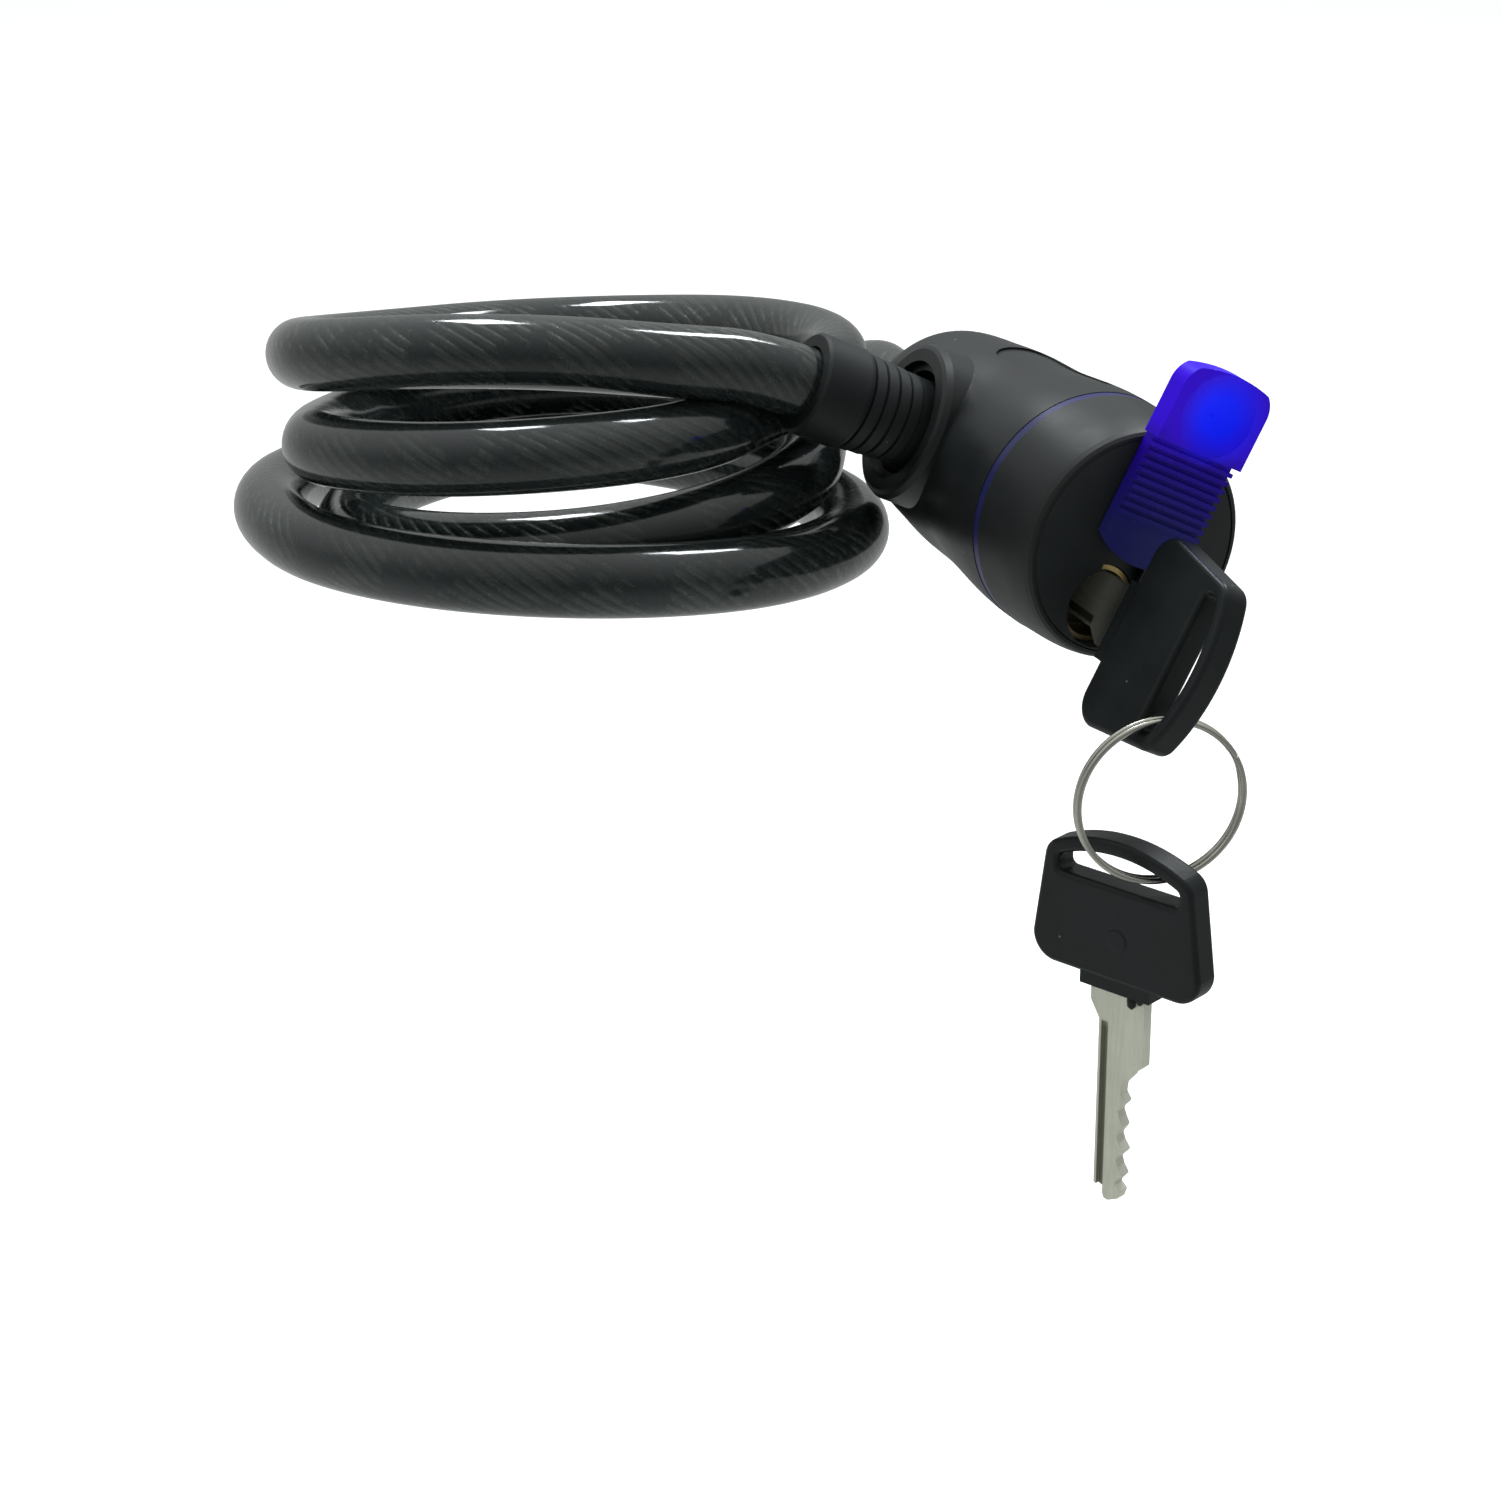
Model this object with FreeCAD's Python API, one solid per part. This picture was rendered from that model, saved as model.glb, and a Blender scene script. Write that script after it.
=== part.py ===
import FreeCAD, Part
import math
import os

# Cable lock: a keyed lock head, a coiled steel cable in a clear jacket with a locking plug,
# and two keys on a split ring. Millimetres, +Z up, origin at the centre of the coil.
#
# The head is modelled in its own frame: Z runs out of the keyhole face, Y is the way the
# keyhole cover slides open, and Z = 0 is the coloured seam ring. The plug is modelled in a
# frame whose Z runs out of the side socket. A key is modelled with its blade axis on Z, its
# bow above Z = 0 and its width along Y.

V = FreeCAD.Vector

# Lock head in the row frame
HEAD_CENTRE = V(86.6, -43.0, 1.0)
HEAD_TURN = 25.8        # degrees, keyhole face turned from -Y towards +X
HEAD_DIP = 2.9          # degrees, keyhole face tipped down
HEAD_ROLL = 27.0        # degrees about the head's axis

# Head shells: radius and height of the outer surface along the axis
REAR_OUTLINE = [(8.8, -54.0), (12.6, -52.7), (15.2, -50.0), (16.7, -45.5), (17.7, -38.0),
                (18.6, -30.0), (19.0, -20.0), (20.1, -10.0), (20.6, -0.9)]
FRONT_OUTLINE = [(20.6, 0.9), (20.3, 6.0), (19.9, 11.0), (19.4, 13.6)]
RIM_OUTLINE = [(19.4, 13.6), (19.1, 14.5), (18.65, 15.0), (18.2, 15.1)]
SEAM_HALF = 0.85
SEAM_RADIUS = 20.5
FACE_Z = 15.0
CAP_RADIUS = 18.0
CAP_BOTTOM = 11.4
WEB_BOTTOM = 9.2
WEB_TOP = 11.2
BODY_RADIUS = 16.4
BODY_REAR_RADIUS = 15.2
BODY_STEP_Z = -27.0
BODY_FRONT = 9.0
BODY_REAR = -37.8

# Lock cylinder
KEY_Y = -11.0
HOUSING_RADIUS = 6.5
HOUSING_REAR = -18.4
HOUSING_FRONT = 12.4
CORE_RADIUS = 5.0
CORE_FRONT = 7.6
CORE_REAR = -17.6
RUNNING = 0.05
MOUTH_RADIUS = 5.7
WAFER_COUNT = 5
WAFER_PITCH = 3.6
CAM_CRANK = 2.0
CAM_PIN_RADIUS = 1.0
CAM_REAR = -20.9

# Side socket and plug
SOCKET_Z = -29.3
SOCKET_LEAN = 7.7       # degrees, socket tipped towards the rear of the head
SOCKET_DROP = 2.0       # degrees, socket tipped away from the cover's side
BOSS_RADIUS = 13.5
BOSS_MOUTH = 19.4
LINER_END = 18.0
SOCKET_RADIUS = 10.2
SOCKET_FLOOR = 10.5
PIN_RADIUS = 4.0
PIN_TIP = -9.0
GROOVE_RADIUS = 2.6
GROOVE_FROM = -5.0
GROOVE_TO = -1.6
GRIP_NECK = 11.6
GRIP_END = 38.5
COLLAR_FROM = 30.0
COLLAR_RADIUS = 8.6
RIB_COUNT = 4
RIB_PITCH = 2.4

# Keyhole cover
COVER_HALF = 8.4
COVER_LOW = -2.6
COVER_HIGH = 31.4
COVER_BOTTOM = 15.5

# Keys and ring
BOW_Z = 23.0
BOW_HEIGHT = 24.0
BOW_THICK = 5.0
ARCH_RADIUS = 30.0
BOW_RIM = 2.5
BOW_SHOULDER = 14.2
SLOT_FLOOR = 16.2      # height of the slot's straight lower edge above the foot of the bow
SLOT_REACH = 11.8
BLADE_LENGTH = 39.8
BLADE_THICK = 2.0
SHOULDER_LENGTH = 14.3
TAB_LENGTH = 8.0
TAB_HALF = 5.3
RING_MEAN = 13.45
RING_WIRE = 1.1
RING_TURN = 12.6        # degrees, ring's normal from -Y towards +X
SPARE_TURN = 41.3       # degrees, spare key's width from +X towards -Y
SPARE_OFFSET = 6.0
HANG_GAP = 1.9
RING_REACH = 8.9        # from the middle of the first key's slot to the ring's wire

# Cable
JACKET_RADIUS = 6.0
ROPE_RADIUS = 4.1
ROPE_BORE = 4.25
CURVE_PULL = 0.9725     # a smooth cable runs this much inside the corners of its route
TURN_STEP = 27.5        # degrees of coil from one corner of the route to the next
JACKET_IN_PLUG = 30.4
ROPE_IN_PLUG = 22.5
JACKET_IN_HEAD = -50.4
ROPE_IN_HEAD = -41.5

# The coil as the cable winds, seen from above, clockwise from the plug to the head:
# degrees round from +X, distance from the centre, height.
COIL = [(-62, 40.6, 25.0), (-90, 39.3, 27.6), (-125, 43.2, 26.6), (-152, 46.3, 21.5),
        (-180, 43.0, 15.6), (-205, 44.5, 10.6), (-225, 46.5, 7.2), (-270, 50.0, 4.8),
        (-315, 49.8, 9.0), (-358, 47.0, 13.4), (-376, 40.8, 12.2), (-391, 37.4, 11.4),
        (-419, 44.0, 12.7), (-450, 50.0, 13.6), (-490, 50.5, 9.8), (-540, 39.5, 1.0),
        (-585, 48.0, -5.5), (-630, 57.0, -7.6), (-660, 51.5, -5.4), (-690, 45.5, -3.2),
        (-720, 42.0, -0.6), (-750, 44.5, -0.9), (-780, 44.5, -2.2), (-810, 44.0, -4.2),
        (-855, 40.6, -8.2), (-900, 36.0, -14.5), (-945, 41.0, -16.0), (-990, 45.5, -15.5),
        (-1035, 46.5, -17.2), (-1080, 49.4, -14.0), (-1125, 55.0, -9.0), (-1170, 57.0, -5.0),
        (-1215, 54.4, -6.0), (-1260, 49.6, -10.0), (-1305, 57.0, -17.5), (-1350, 62.5, -21.0),
        (-1372, 65.0, -16.5), (-1392, 65.5, -6.5), (-1405, 64.5, 1.5)]


# ---------------------------------------------------------------- frames

def head_axes():
    """The head frame's X, Y and Z directions in the row frame."""
    turn = math.radians(HEAD_TURN)
    dip = math.radians(HEAD_DIP)
    roll = math.radians(HEAD_ROLL)
    out = V(math.cos(dip) * math.sin(turn), -math.cos(dip) * math.cos(turn), -math.sin(dip))
    level = V(math.cos(turn), math.sin(turn), 0)
    steep = out.cross(level)
    slide = steep * math.cos(roll) + level * math.sin(roll)
    slide.normalize()
    return slide.cross(out), slide, out


def frame(x, y, z, origin):
    """The placement whose axes are x, y and z and whose origin is given."""
    m = FreeCAD.Matrix(x.x, y.x, z.x, origin.x,
                       x.y, y.y, z.y, origin.y,
                       x.z, y.z, z.z, origin.z,
                       0, 0, 0, 1)
    return FreeCAD.Placement(m)


HEAD_X, HEAD_Y, HEAD_Z = head_axes()
HEAD = frame(HEAD_X, HEAD_Y, HEAD_Z, HEAD_CENTRE)


def socket_frame():
    """The plug's frame inside the head frame, Z out of the side socket."""
    lean = math.radians(SOCKET_LEAN)
    drop = math.radians(SOCKET_DROP)
    z = V(-math.cos(lean) * math.cos(drop), -math.sin(drop), -math.sin(lean) * math.cos(drop))
    y = V(0, 1, 0)
    x = y.cross(z)
    x.normalize()
    return frame(x, z.cross(x), z, V(0, 0, SOCKET_Z))


SOCKET = socket_frame()
PLUG = HEAD.multiply(SOCKET)


def place(shape, placement):
    """A copy of the shape, moved by the placement."""
    moved = shape.copy()
    moved.transformShape(placement.toMatrix(), True)
    return moved


# ---------------------------------------------------------------- small shapes

def rod(radius, low, high, x=0.0, y=0.0):
    return Part.makeCylinder(radius, high - low, V(x, y, low))


def tube(outer, inner, low, high, x=0.0, y=0.0):
    return rod(outer, low, high, x, y).cut(rod(inner, low - 1, high + 1, x, y))


def block(low, high):
    size = [high[i] - low[i] for i in range(3)]
    return Part.makeBox(size[0], size[1], size[2], V(*low))


def spun(outline):
    """A solid of revolution about Z from a closed list of (radius, height) corners."""
    points = [V(r, 0, z) for r, z in outline]
    wire = Part.makePolygon(points + [points[0]])
    return Part.Face(wire).revolve(V(0, 0, 0), V(0, 0, 1), 360)


def spun_curve(outline):
    """The solid inside a smooth outer curve through the (radius, height) points."""
    points = [V(r, 0, z) for r, z in outline]
    curve = Part.BSplineCurve()
    curve.interpolate(points)
    low = V(0, 0, points[0].z)
    high = V(0, 0, points[-1].z)
    edges = [curve.toShape(), Part.makeLine(points[-1], high), Part.makeLine(high, low),
             Part.makeLine(low, points[0])]
    return Part.Face(Part.Wire(edges)).revolve(V(0, 0, 0), V(0, 0, 1), 360)


def extruded(wire, thickness):
    """A flat outline in the YZ plane made into a plate centred on X = 0."""
    plate = Part.Face(wire).extrude(V(thickness, 0, 0))
    plate.translate(V(-thickness / 2, 0, 0))
    return plate


# ---------------------------------------------------------------- lock head

def rear_shell():
    shell = spun_curve(REAR_OUTLINE)
    boss = spun([(0, 4), (BOSS_RADIUS + 0.9, 4), (BOSS_RADIUS, 12), (BOSS_RADIUS, BOSS_MOUTH - 1.4),
                 (BOSS_RADIUS - 0.5, BOSS_MOUTH - 0.4), (BOSS_RADIUS - 1.2, BOSS_MOUTH), (0, BOSS_MOUTH)])
    shell = shell.fuse(place(boss, SOCKET)).removeSplitter()
    hollow = rod(BODY_RADIUS + 0.2, BODY_STEP_Z, 1).fuse(rod(BODY_REAR_RADIUS + 0.2, -44, BODY_STEP_Z + 1))
    hollow = hollow.fuse(rod(9.2, -50, -43)).fuse(rod(7.5, -56, -49))
    hollow = hollow.fuse(rod(HOUSING_RADIUS + 0.2, -21.6, 1, 0, KEY_Y))
    hollow = hollow.fuse(place(rod(SOCKET_RADIUS, 6, BOSS_MOUTH + 1), SOCKET))
    shell = shell.cut(hollow)
    panel = block((-10.5, 12, -31), (-0.5, 30, -6))
    panel = panel.makeFillet(4.0, [e for e in panel.Edges if abs(e.tangentAt(0).y) > 0.9])
    skin = spun_curve(REAR_OUTLINE).cut(spun_curve([(r - 0.35, z) for r, z in REAR_OUTLINE]))
    return shell.cut(panel.common(skin))


def front_shell():
    shell = spun_curve(FRONT_OUTLINE)
    lip = spun([(0, 13.6)] + RIM_OUTLINE + [(0, 15.1)])
    shell = shell.fuse(lip).removeSplitter()
    shell = shell.cut(rod(17.2, 0, WEB_BOTTOM))
    shell = shell.cut(rod(CAP_RADIUS + 0.08, WEB_TOP, FACE_Z + 1))
    shell = shell.cut(rod(HOUSING_RADIUS + 0.2, 0, WEB_TOP + 1, 0, KEY_Y))
    for side in (-1, 1):
        shell = shell.cut(rod(1.7, WEB_BOTTOM - 1, WEB_TOP + 1, side * 9.5, 5))
    return shell


def seam_ring():
    ring = tube(SEAM_RADIUS, 17.2, -SEAM_HALF, SEAM_HALF)
    return ring.cut(rod(HOUSING_RADIUS + 0.2, -1, 1, 0, KEY_Y))


def face_cap():
    cap = spun([(0, CAP_BOTTOM), (CAP_RADIUS, CAP_BOTTOM), (CAP_RADIUS, FACE_Z - 0.15),
                (CAP_RADIUS - 0.15, FACE_Z), (0, FACE_Z)])
    cap = cap.cut(rod(HOUSING_RADIUS + 0.2, CAP_BOTTOM - 1, FACE_Z + 1, 0, KEY_Y))
    cap = cap.cut(block((-6.3, -11.6, 13.0), (6.3, 20, 14.3)))
    cap = cap.cut(block((-3.9, -11.6, 14.2), (3.9, 20, 16)))
    cap = cap.cut(block((-2.2, 6, 12.4), (2.2, 14, 13.1)))
    for side in (-1, 1):
        cap = cap.cut(rod(3.0, CAP_BOTTOM - 1, 13.1, side * 9.5, 5))
    return cap


def case_screws():
    screws = []
    for side in (-1, 1):
        screw = rod(1.5, -6, WEB_TOP + 0.2, side * 9.5, 5).fuse(rod(2.7, WEB_TOP, 12.8, side * 9.5, 5))
        screws.append(screw.cut(block((side * 9.5 - 3, 4.6, 12.0), (side * 9.5 + 3, 5.4, 13))))
    return Part.makeCompound(screws)


def lock_body():
    body = rod(BODY_RADIUS, BODY_STEP_Z, BODY_FRONT).fuse(rod(BODY_REAR_RADIUS, BODY_REAR, BODY_STEP_Z + 1))
    body = body.removeSplitter()
    body = body.cut(rod(HOUSING_RADIUS + 0.1, -21.6, BODY_FRONT + 1, 0, KEY_Y))
    body = body.cut(block((-4.8, -18, -24.6), (4.8, 9.6, -21.5)))
    body = body.cut(block((1.6, 2.5, -34.4), (5.2, 9.6, -24.5)))
    spring_hole = Part.makeCylinder(1.6, 5.5, V(0, 9.0, -23.0), V(0, 1, 0))
    body = body.cut(spring_hole)
    body = body.cut(place(rod(PIN_RADIUS + 0.25, PIN_TIP - 0.8, 20), SOCKET))
    body = body.cut(place(rod(SOCKET_RADIUS + 0.1, SOCKET_FLOOR, 20), SOCKET))
    for side in (-1, 1):
        body = body.cut(rod(1.5, -6, BODY_FRONT + 1, side * 9.5, 5))
        body = body.cut(rod(1.25, BODY_REAR - 1, -34.6, 0, side * 11.5))
    return body


def socket_liner():
    liner = tube(SOCKET_RADIUS, 9.0, SOCKET_FLOOR + 0.1, LINER_END)
    return liner.fuse(tube(SOCKET_RADIUS, PIN_RADIUS + 0.4, SOCKET_FLOOR + 0.1, SOCKET_FLOOR + 0.9))


def cylinder_housing():
    housing = rod(HOUSING_RADIUS, HOUSING_REAR, HOUSING_FRONT, 0, KEY_Y)
    housing = housing.cut(rod(CORE_RADIUS + RUNNING, HOUSING_REAR - 1, HOUSING_FRONT + 1, 0, KEY_Y))
    return housing.cut(rod(MOUTH_RADIUS, CORE_FRONT + 0.1, HOUSING_FRONT + 1, 0, KEY_Y))


def wafer_heights():
    return [CORE_FRONT - 4.0 - WAFER_PITCH * i for i in range(WAFER_COUNT)]


def key_plug():
    plug = rod(CORE_RADIUS, CORE_REAR, CORE_FRONT, 0, KEY_Y)
    plug = plug.fuse(rod(1.75, CAM_REAR, CORE_REAR + 0.5, 0, KEY_Y))
    plug = plug.cut(block((-1.15, KEY_Y - 3.7, CORE_REAR + 0.6), (1.15, KEY_Y + 3.7, CORE_FRONT + 1)))
    for z in wafer_heights():
        plug = plug.cut(block((-2.5, KEY_Y - 4.15, z - 0.6), (2.5, KEY_Y + 4.15, z + 0.6)))
        plug = plug.cut(Part.makeCylinder(0.55, 2.6, V(3.3, KEY_Y - 1.3, z), V(0, 1, 0)))
    return plug


def wafer_tumblers():
    wafers = []
    for z in wafer_heights():
        wafer = block((-2.4, KEY_Y - 4.05, z - 0.5), (2.4, KEY_Y + 4.05, z + 0.5))
        wafers.append(wafer.cut(block((-1.2, KEY_Y - 3.7, z - 1), (1.2, KEY_Y + 3.7, z + 1))))
    return Part.makeCompound(wafers)


def tumbler_springs():
    springs = []
    for z in wafer_heights():
        outer = Part.makeCylinder(0.5, 2.4, V(3.3, KEY_Y - 1.2, z), V(0, 1, 0))
        springs.append(outer.cut(Part.makeCylinder(0.25, 3.0, V(3.3, KEY_Y - 1.5, z), V(0, 1, 0))))
    return Part.makeCompound(springs)


def cam():
    disc = rod(4.4, CAM_REAR, CAM_REAR + 1.7, 0, KEY_Y)
    disc = disc.fuse(rod(CAM_PIN_RADIUS, -24.1, -20, -CAM_CRANK, KEY_Y))
    return disc.cut(rod(1.8, CAM_REAR, CAM_REAR + 2, 0, KEY_Y))


def retaining_clip():
    clip = tube(6.0, 1.77, -19.1, HOUSING_REAR - 0.1, 0, KEY_Y)
    return clip.cut(block((-0.9, KEY_Y, -20), (0.9, KEY_Y + 7, -18)))


def latch_slider():
    plate = block((-4.2, -13.6, -24.3), (4.5, 9.0, -21.9))
    reach = CAM_CRANK + CAM_PIN_RADIUS + 0.3
    plate = plate.cut(block((-reach, KEY_Y - CAM_PIN_RADIUS - 0.7, -25),
                            (CAM_PIN_RADIUS + 0.3, KEY_Y + CAM_PIN_RADIUS + 0.7, -21)))
    plate = plate.cut(block((2.2, -20, -25), (6, -5, -21)))
    return plate.fuse(block((2.3, 5.1, -33.9), (4.2, 9.0, -24.3))).removeSplitter()


def latch_spring():
    outer = Part.makeCylinder(1.4, 5.0, V(0, 9.2, -23.0), V(0, 1, 0))
    return outer.cut(Part.makeCylinder(0.9, 6.0, V(0, 8.8, -23.0), V(0, 1, 0)))


def ferrule_plate():
    plate = tube(14.8, 6.0, -42.8, -40.4).common(block((-9.0, -15, -43), (9.0, 15, -40)))
    for side in (-1, 1):
        plate = plate.cut(rod(1.4, -44, -39, 0, side * 11.5))
    return plate


def plate_screws():
    screws = []
    for side in (-1, 1):
        screws.append(rod(1.25, -42.9, -34.7, 0, side * 11.5).fuse(rod(2.4, -43.9, -42.8, 0, side * 11.5)))
    return Part.makeCompound(screws)


def fixed_ferrule():
    ferrule = rod(5.8, -49.6, -40.0).fuse(rod(8.5, -40.3, -38.0))
    return ferrule.cut(rod(ROPE_BORE, -50, ROPE_IN_HEAD + 0.1))


def rear_grommet():
    sleeve = spun([(0, -60), (6.9, -60), (7.3, -59.4), (8.7, -54.1), (7.4, -54.1), (7.4, -50.5), (0, -50.5)])
    return sleeve.cut(rod(JACKET_RADIUS + 0.1, -61, -50))


def cover_detent():
    return block((-2.0, 6.2, 12.5), (2.0, 13.8, 12.8))


# ---------------------------------------------------------------- keyhole cover

def keyhole_cover():
    plate = block((-COVER_HALF, COVER_LOW, COVER_BOTTOM), (COVER_HALF, COVER_HIGH, 17.6))
    for i in range(9):
        y = 4.6 + 1.45 * i
        plate = plate.fuse(block((-COVER_HALF, y, 17.5), (COVER_HALF, y + 0.7, 18.7)))
    plate = plate.fuse(block((-COVER_HALF - 0.5, 17.8, COVER_BOTTOM), (COVER_HALF + 0.5, COVER_HIGH, 19.4)))
    plate = plate.common(rod(COVER_HIGH - 4.0, 10, 25, 0, 4.0))
    rounded = block((-COVER_HALF - 0.5, COVER_LOW, 10), (COVER_HALF + 0.5, COVER_HIGH, 25))
    rounded = rounded.makeFillet(4.5, [e for e in rounded.Edges
                                       if abs(e.tangentAt(0).z) > 0.9 and e.CenterOfMass.y > 20])
    plate = plate.common(rounded)
    tip = rod(12.5, 10, 25, 0, COVER_LOW + 12.5)
    plate = plate.common(tip.fuse(block((-12, 4.0, 10), (12, 40, 25))))
    plate = plate.cut(Part.makeSphere(14.0, V(0, 24.4, 31.6)))
    plate = plate.fuse(block((-3.6, 3.4, 13.9), (3.6, 14.2, COVER_BOTTOM + 0.1)))
    return plate.fuse(block((-6.0, 3.4, 13.2), (6.0, 14.2, 14.0))).removeSplitter()


# ---------------------------------------------------------------- plug

def plug_pin():
    pin = spun([(0, PIN_TIP), (2.6, PIN_TIP), (PIN_RADIUS, PIN_TIP + 1.6), (PIN_RADIUS, GROOVE_FROM),
                (GROOVE_RADIUS, GROOVE_FROM), (GROOVE_RADIUS, GROOVE_TO), (PIN_RADIUS, GROOVE_TO),
                (PIN_RADIUS, 13.0), (3.4, 13.0), (3.4, 20.0), (0, 20.0)])
    return pin


def grip_outline():
    """The moulded grip from its neck in the socket to its open collar."""
    outline = [(7.0, GRIP_NECK), (7.6, GRIP_NECK + 0.6), (7.6, COLLAR_FROM - RIB_COUNT * RIB_PITCH - 0.6)]
    for i in range(RIB_COUNT):
        z = COLLAR_FROM - (RIB_COUNT - i) * RIB_PITCH
        radius = 7.7 + 0.15 * i
        outline += [(radius, z - 0.2), (radius, z + 1.5), (radius - 0.5, z + 1.7), (radius - 0.5, z + 2.0)]
    outline += [(COLLAR_RADIUS - 0.2, COLLAR_FROM - 0.2), (COLLAR_RADIUS, COLLAR_FROM + 0.4),
                (COLLAR_RADIUS, GRIP_END - 0.5), (COLLAR_RADIUS - 0.5, GRIP_END)]
    return outline


def plug_grip():
    grip = spun([(0, GRIP_NECK)] + grip_outline() + [(0, GRIP_END)])
    grip = grip.cut(rod(PIN_RADIUS + 0.02, GRIP_NECK - 1, 13.1))
    grip = grip.cut(rod(3.45, 13, 20.2))
    grip = grip.cut(rod(5.65, 20.1, COLLAR_FROM + 0.2))
    return grip.cut(rod(JACKET_RADIUS + 0.15, COLLAR_FROM + 0.1, GRIP_END + 1))


def plug_ferrule():
    return rod(5.6, 20.2, COLLAR_FROM).cut(rod(ROPE_BORE, 22.2, COLLAR_FROM + 1))


# ---------------------------------------------------------------- keys

def arc_edge(a, mid, b):
    return Part.Arc(a, mid, b).toShape()


def bow_wire():
    """The bow's outline: straight foot, sides leaning in, one arch over the top."""
    crown = V(0, 0, BOW_HEIGHT)
    drop = ARCH_RADIUS - math.sqrt(ARCH_RADIUS ** 2 - BOW_SHOULDER ** 2)
    shoulder = V(0, BOW_SHOULDER, BOW_HEIGHT - drop)
    foot = V(0, 16.4, 4.6)
    corner = V(0, 11.8, 0)
    mirrored = [V(0, -p.y, p.z) for p in (shoulder, foot, corner)]
    bend = V(0, 15.1, 1.35)
    bend_left = V(0, -15.1, 1.35)
    edges = [arc_edge(shoulder, crown, mirrored[0]), Part.makeLine(mirrored[0], mirrored[1]),
             arc_edge(mirrored[1], bend_left, mirrored[2]), Part.makeLine(mirrored[2], corner),
             arc_edge(corner, bend, foot), Part.makeLine(foot, shoulder)]
    return Part.Wire(edges)


def slot_top(y):
    """Height of the slot's arched upper edge above the foot of the bow."""
    radius = ARCH_RADIUS - BOW_RIM
    return BOW_HEIGHT - ARCH_RADIUS + math.sqrt(radius ** 2 - y ** 2)


def slot_centre(y):
    """Height of the middle of the slot above the foot of the bow."""
    return (slot_top(y) + SLOT_FLOOR) / 2


def bow_slot():
    """The slot for the ring: a straight lower edge under an arch."""
    left = V(0, -SLOT_REACH, slot_top(SLOT_REACH))
    right = V(0, SLOT_REACH, slot_top(SLOT_REACH))
    low_left = V(0, -SLOT_REACH, SLOT_FLOOR)
    low_right = V(0, SLOT_REACH, SLOT_FLOOR)
    edges = [arc_edge(left, V(0, 0, slot_top(0)), right), Part.makeLine(right, low_right),
             Part.makeLine(low_right, low_left), Part.makeLine(low_left, left)]
    return Part.Wire(edges)


def key_bow():
    bow = extruded(bow_wire(), BOW_THICK)
    across = [e for e in bow.Edges if abs(e.tangentAt(e.FirstParameter).x) > 0.9]
    bow = bow.makeFillet(3.5, [e for e in across if e.CenterOfMass.z > BOW_HEIGHT / 2])
    slot = extruded(bow_slot(), BOW_THICK + 2)
    slot = slot.makeFillet(1.0, [e for e in slot.Edges if abs(e.tangentAt(e.FirstParameter).x) > 0.9])
    bow = bow.cut(slot)
    rims = [e for e in bow.Edges if abs(abs(e.CenterOfMass.x) - BOW_THICK / 2) < 0.01]
    bow = bow.makeFillet(0.9, rims)
    bow = bow.fuse(block((-2.1, -6.8, -2.0), (2.1, 6.8, 1.0)))
    return bow.cut(block((-BLADE_THICK / 2, -TAB_HALF, -3), (BLADE_THICK / 2, TAB_HALF, TAB_LENGTH)))


def key_blade():
    """Flat blade: wide tab, a short shoulder at the back and a long one over the cut edge."""
    tip = -BLADE_LENGTH
    cut = -SHOULDER_LENGTH
    points = [(-TAB_HALF, TAB_LENGTH), (TAB_HALF, TAB_LENGTH), (TAB_HALF, cut + 0.3),
              (TAB_HALF - 0.6, cut - 0.3), (3.3, cut - 1.0), (3.1, cut - 1.9), (1.4, cut - 4.0)]
    peaks = [2.1, 1.9, 2.2, 2.1]
    pitch = 4.4
    for i, peak in enumerate(peaks):
        z = cut - 5.6 - pitch * i
        points += [(1.2, z), (peak, z - 1.3), (peak - 0.2, z - 1.7), (0.9, z - 2.9), (0.8, z - 3.3)]
    points += [(1.9, tip + 2.4), (1.4, tip + 0.9), (-0.6, tip), (-1.4, tip + 0.2), (-2.1, tip + 1.9),
               (-3.5, tip + 2.4), (-3.5, -7.8), (-TAB_HALF, -4.8)]
    corners = [V(0, y, z) for y, z in points]
    blade = extruded(Part.makePolygon(corners + [corners[0]]), BLADE_THICK)
    for side in (-1, 1):
        groove = block((-0.7, -3.0, tip - 1), (0.7, -1.7, -8.0))
        groove.translate(V(side * BLADE_THICK / 2, 0, 0))
        blade = blade.cut(groove)
    return blade


def split_ring():
    """Two close coils of wire, as one band with rounded edges, about Z."""
    half = RING_WIRE / 2
    low = V(RING_MEAN - half, 0, -half)
    edges = [Part.makeLine(low, V(RING_MEAN - half, 0, half)),
             arc_edge(V(RING_MEAN - half, 0, half), V(RING_MEAN, 0, 2 * half), V(RING_MEAN + half, 0, half)),
             Part.makeLine(V(RING_MEAN + half, 0, half), V(RING_MEAN + half, 0, -half)),
             arc_edge(V(RING_MEAN + half, 0, -half), V(RING_MEAN, 0, -2 * half), low)]
    return Part.Face(Part.Wire(edges)).revolve(V(0, 0, 0), V(0, 0, 1), 360)


KEY_ONE = HEAD.multiply(FreeCAD.Placement(V(0, KEY_Y, BOW_Z), FreeCAD.Rotation()))


def ring_top():
    """The wire's centre where the ring hangs, near one end of the first key's slot."""
    return KEY_ONE.multVec(V(0, -RING_REACH, slot_centre(RING_REACH)))


RING_CENTRE = ring_top() - V(0, 0, RING_MEAN)


def ring_frame():
    turn = math.radians(RING_TURN)
    normal = V(math.sin(turn), -math.cos(turn), 0)
    along = V(math.cos(turn), math.sin(turn), 0)
    return frame(along, normal.cross(along), normal, RING_CENTRE)


def spare_frame():
    turn = math.radians(SPARE_TURN)
    width = V(math.cos(turn), -math.sin(turn), 0)
    up = V(0, 0, 1)
    hang = RING_CENTRE - V(0, 0, RING_MEAN)
    height = slot_top(SPARE_OFFSET) - HANG_GAP
    return frame(width.cross(up), width, up, hang - width * SPARE_OFFSET - up * height)


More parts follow.
